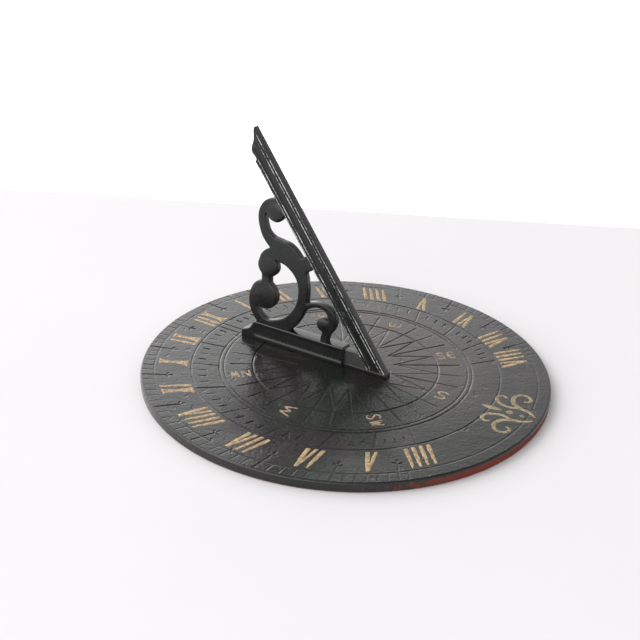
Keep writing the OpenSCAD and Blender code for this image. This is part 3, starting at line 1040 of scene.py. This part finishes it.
def brushed_skin(n, crazed_and_shaded):
    """Height of the paint film: orange peel, brush marks, pits and the crazing."""
    strokes = n.noise(420, 3, 0.55, (3.5, 1, 1), BRUSHED)
    skin = n.plus(n.noise(480, 3, 0.55), n.times(strokes, 0.8))
    pits = n.band(n.noise(270, 2, 0.5, (1, 2.2, 1), BRUSHED), 0.27, 0.36, -1.1, 0.0)
    skin = n.plus(n.plus(skin, pits), n.times(n.noise(1900, 2, 0.5), 0.2))
    craze = n.times(crazed_and_shaded, n.band(n.noise(640, 4, 0.7), 0.5, 0.62), 0.8)
    return n.minus(skin, craze)


def plate_paint():
    """Semi-gloss black enamel, green and brown in places, with red primer showing round the rim, and a
    crazed patch west of the rail that is partly painted shade.
    """
    n = paint("plate_paint_black")
    x, y, z = n.axes()
    r = n.length(x, y)
    bare = bare_primer(n, x, y, z, r)
    primer = n.mix(n.noise(90, 4, 0.6), DARK_PRIMER, PRIMER)
    n.set(Base_Color=n.mix(bare, enamel_black(n, x, y, r), primer))
    # Painted shade: the crazed patch lowers the specular level below, darkening the face where the
    # gnomon shades it and is reflected in it.
    crazed_and_shaded = crazed_and_shade_patch(n, x, y, z)
    rough = n.plus(n.band(n.noise(45, 4, 0.6), 0.3, 0.7, 0.1, 0.18), n.times(crazed_and_shaded, 0.06))
    n.set(Roughness=n.plus(rough, n.times(bare, 0.5)), IOR=1.5)
    level = n.minus(0.5, n.times(bare, 0.38))
    n.set(Specular_IOR_Level=n.minus(level, n.times(crazed_and_shaded, 0.25)))
    n.bump(brushed_skin(n, crazed_and_shaded), 0.00014)
    return n.owner


# Colours of the gnomon: two casts of the black, the paint where it is rubbed, a lighter grey for a
# painted sheen, and bare metal that is partly a painted highlight
COOL_BLACK, DEEP_BLACK = rgb(0.0042, 0.0062, 0.0054), rgb(0.007, 0.006, 0.006)
RUBBED, SHEEN_GREY, BARE_METAL_GLINT = rgb(0.042, 0.042, 0.041), rgb(0.34, 0.345, 0.33), rgb(0.46, 0.455, 0.45)


def gnomon_paint():
    """Deep black enamel over cast metal, rubbed thin on the arrises, with painted highlights on the
    reeds and fillets and a painted sheen on the web.
    """
    n = paint("gnomon_paint_black")
    wear, bare, painted_sheen, glossy = (n.mask(name) for name in ("wear",) + MARKS)
    rubbed = n.band(n.plus(wear, n.times(n.noise(700, 4, 0.7), 0.9)), 1.2, 1.6)
    rubbed = n.times(rubbed, n.minus(1.0, glossy))
    # Painted highlight: the bare metal on the reeds and fillets also stands for the glints they catch.
    metal_and_glint = n.band(n.plus(bare, n.times(n.noise(750, 2, 0.6), 0.9)), 1.2, 1.5)
    black = n.mix(n.band(n.noise(30, 3), 0.35, 0.65), COOL_BLACK, DEEP_BLACK)
    painted = n.mix(rubbed, black, RUBBED)
    # Painted sheen: a lighter grey over the web stands in for the light it reflects.
    sheen_share = n.times(painted_sheen, n.band(n.noise(260, 4, 0.6), 0.25, 0.6, 0.65, 1.0))
    painted = n.mix(sheen_share, painted, SHEEN_GREY)
    n.set(Base_Color=n.mix(metal_and_glint, painted, BARE_METAL_GLINT))
    rough = n.band(n.noise(90, 4, 0.6), 0.3, 0.7, 0.2, 0.34)
    rough = n.minus(rough, n.times(glossy, 0.13))
    n.set(Roughness=n.plus(rough, n.times(metal_and_glint, 0.25)), IOR=1.5)
    n.set(Specular_IOR_Level=n.plus(0.44, n.times(glossy, 0.3)))
    n.bump(n.plus(n.noise(420, 3), n.times(n.noise(1500, 2), 0.3)), 0.00008)
    return n.owner


# Colours of the gold paints: where it is thick, where it is darker, and where it is thin
OCHRE_GOLD = rgb(0.55, 0.385, 0.21), rgb(0.31, 0.205, 0.1), rgb(0.1, 0.066, 0.036)
PALE_GOLD = rgb(0.43, 0.32, 0.205), rgb(0.26, 0.185, 0.115), rgb(0.085, 0.06, 0.04)
THIN_GOLD = rgb(0.4, 0.315, 0.19), rgb(0.23, 0.175, 0.095), rgb(0.05, 0.04, 0.025)


def gold_paint(name, light, dark, thin):
    """Brushed gold paint, uneven in depth, with the black showing where it is thin."""
    n = paint(name)
    base = n.mix(n.band(n.noise(420, 4, 0.6), 0.38, 0.62), light, dark)
    base = n.mix(n.band(n.noise(800, 3, 0.6), 0.54, 0.68), base, thin)
    n.set(Base_Color=base, Roughness=n.band(n.noise(500, 3), 0.3, 0.7, 0.42, 0.6), IOR=1.5)
    n.set(Metallic=0.15)
    n.bump(n.plus(n.noise(1400, 3, 0.6), n.noise(500, 2)), 0.0002)
    return n.owner


def screw_steel():
    """Plain turned steel, a little dulled."""
    n = paint("screw_steel_turned")
    n.set(Base_Color=n.mix(n.noise(900, 3), rgb(0.36, 0.35, 0.33), rgb(0.5, 0.49, 0.47)))
    n.set(Metallic=1.0, Roughness=n.band(n.noise(1500, 2, 0.5, (1, 1, 0.2)), 0.3, 0.7, 0.28, 0.45))
    n.bump(n.noise(2500, 2), 0.00003)
    return n.owner


def table_paint():
    """The pale table that the dial lies on."""
    n = paint("stage_pale_table")
    n.set(Base_Color=n.mix(n.noise(9, 3), rgb(0.765, 0.75, 0.763), rgb(0.795, 0.78, 0.793)))
    n.set(Roughness=0.7, Specular_IOR_Level=0.1)
    return n.owner


# -------------------- stage, light and camera

# Level directions away from the camera and to its left
AHEAD = (0.8764, 0.4816, 0.0)
LEFTWARDS = (-0.4816, 0.8764, 0.0)
# The camera: focal length in mm, azimuth, elevation and roll in degrees, aim and distance
LENS = 59.06
CAMERA_ANGLES = (-59.5, 26.51, 2.02)
CAMERA_TARGET, CAMERA_DISTANCE = (0.0431, 0.0448, 0.0064), 0.7005
# The table's far edge on the left and on the right, near edge, half width, and the opening
TABLE_FAR = (0.339, 0.231)
TABLE_NEAR, TABLE_SIDE = 1.5, 1.2
TABLE_HOLE = 0.112
# How far the table lies above the underside, so that the two don't share a plane
TABLE_LIFT = 0.00004
# The key light, by its distance leftwards, ahead and up, its side and its power in watts
KEY_PLACE, KEY_SIZE, KEY_POWER = (1.0, -0.15, 1.15), 0.7, 5
# Brightness of the studio wall by height (0 straight down, 1 straight up)
WALL = ((0.0, 1.6), (0.3, 1.6), (0.5, 1.5), (0.68, 0.8), (1.0, 0.5))
# Sideways direction, from and to, and the strength of the light there
SIDE_LIGHT = (-0.35, 0.35, 0.95, 3.4)


def stage_table():
    """The table top, open under the plate so that the underside can be seen from below."""
    ahead, left = np.array(AHEAD[:2]), np.array(LEFTWARDS[:2])
    far = [ahead * TABLE_FAR[0] + left * TABLE_SIDE, ahead * TABLE_FAR[1] - left * TABLE_SIDE]
    near = [-ahead * TABLE_NEAR - left * TABLE_SIDE, -ahead * TABLE_NEAR + left * TABLE_SIDE]
    net = Net()
    net.add(far + near)
    net.add(circle(TABLE_HOLE, 72))
    flat, faces, _ = net.triangulate()
    faces = faces[np.linalg.norm(flat[faces].mean(1), axis=1) > TABLE_HOLE]
    mesh = bpy.data.meshes.new("stage_table")
    mesh.from_pydata([(x, y, TABLE_LIFT) for x, y in flat], [], [tuple(f) for f in faces])
    mesh.materials.append(table_paint())
    plane = bpy.data.objects.new("stage_table", mesh)
    bpy.context.scene.collection.objects.link(plane)


def key_light():
    """A square lamp, high on the left, that faces the dial."""
    leftwards, ahead, up = KEY_PLACE
    data = bpy.data.lights.new("key", "AREA")
    data.size = KEY_SIZE
    data.energy = KEY_POWER
    lamp = bpy.data.objects.new("key", data)
    lamp.location = Vector(LEFTWARDS) * leftwards + Vector(AHEAD) * ahead + Vector((0, 0, up))
    lamp.rotation_euler = (-lamp.location).to_track_quat("-Z", "Y").to_euler()
    bpy.context.scene.collection.objects.link(lamp)


def build_camera():
    """A normal lens, seen from the south-west and a little above, leaning two degrees."""
    data = bpy.data.cameras.new("camera")
    data.sensor_width = 36.0
    data.lens = LENS
    data.clip_start, data.clip_end = 0.01, 50
    azimuth, elevation, roll = (math.radians(a) for a in CAMERA_ANGLES)
    back = Vector((math.sin(azimuth) * math.cos(elevation), -math.cos(azimuth) * math.cos(elevation),
                   math.sin(elevation)))
    right = Vector((0, 0, 1)).cross(back).normalized()
    up = back.cross(right)
    side = right * math.cos(roll) + up * math.sin(roll)
    camera = bpy.data.objects.new("camera", data)
    axes = Matrix((side, back.cross(side), back)).transposed().to_4x4()
    place = Vector(CAMERA_TARGET) + back * CAMERA_DISTANCE
    camera.matrix_world = Matrix.Translation(place) @ axes
    bpy.context.scene.collection.objects.link(camera)
    bpy.context.scene.camera = camera


def build_world():
    """A white studio: brightest low down and to the left of the camera, dimmer overhead."""
    n = Nodes(bpy.data.worlds.new("studio"), "Background", "Generated")
    ramp = n.new("ShaderNodeValToRGB", {"Fac": n.axes()["Z"]})
    ramp.color_ramp.interpolation = "EASE"
    for at, _ in WALL[1:-1]:
        ramp.color_ramp.elements.new(at)
    for element, (at, level) in zip(ramp.color_ramp.elements, WALL):
        element.position = at
        element.color = (level / 2, level / 2, level / 2, 1)
    inputs = {0: n.place, 1: LEFTWARDS}
    sideways = n.new("ShaderNodeVectorMath", inputs, operation="DOT_PRODUCT").outputs["Value"]
    n.set(Color=ramp.outputs["Color"], Strength=n.band(sideways, *SIDE_LIGHT, "LINEAR"))
    return n.owner


def build_stage():
    """A pale table that ends a little way behind the dial, in front of the white."""
    scene = bpy.context.scene
    scene.view_settings.view_transform = "Standard"
    scene.world = build_world()
    stage_table()
    key_light()


# -------------------- the object

build_camera()
build_stage()

build_plate(plate_paint())
gold = gold_paint("gold_paint_ochre", *OCHRE_GOLD)
pale = gold_paint("pale_gold_paint_brushed", *PALE_GOLD)
thin_gold = gold_paint("gold_paint_thin", *THIN_GOLD)
gilded("hour_numerals_gilt", "hour_numerals", gold, 0.12, 51, numeral_taper)
gilded("compass_letters_gilt", "compass_letters", pale, -0.14, 61)
gilded("flourish_gilt", "flourish", thin_gold, 0.05, 71)

enamel = gnomon_paint()
build_style(enamel)
build_bracket(enamel)
build_rail(enamel)
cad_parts["gnomon_screws"].material_slots[0].material = screw_steel()
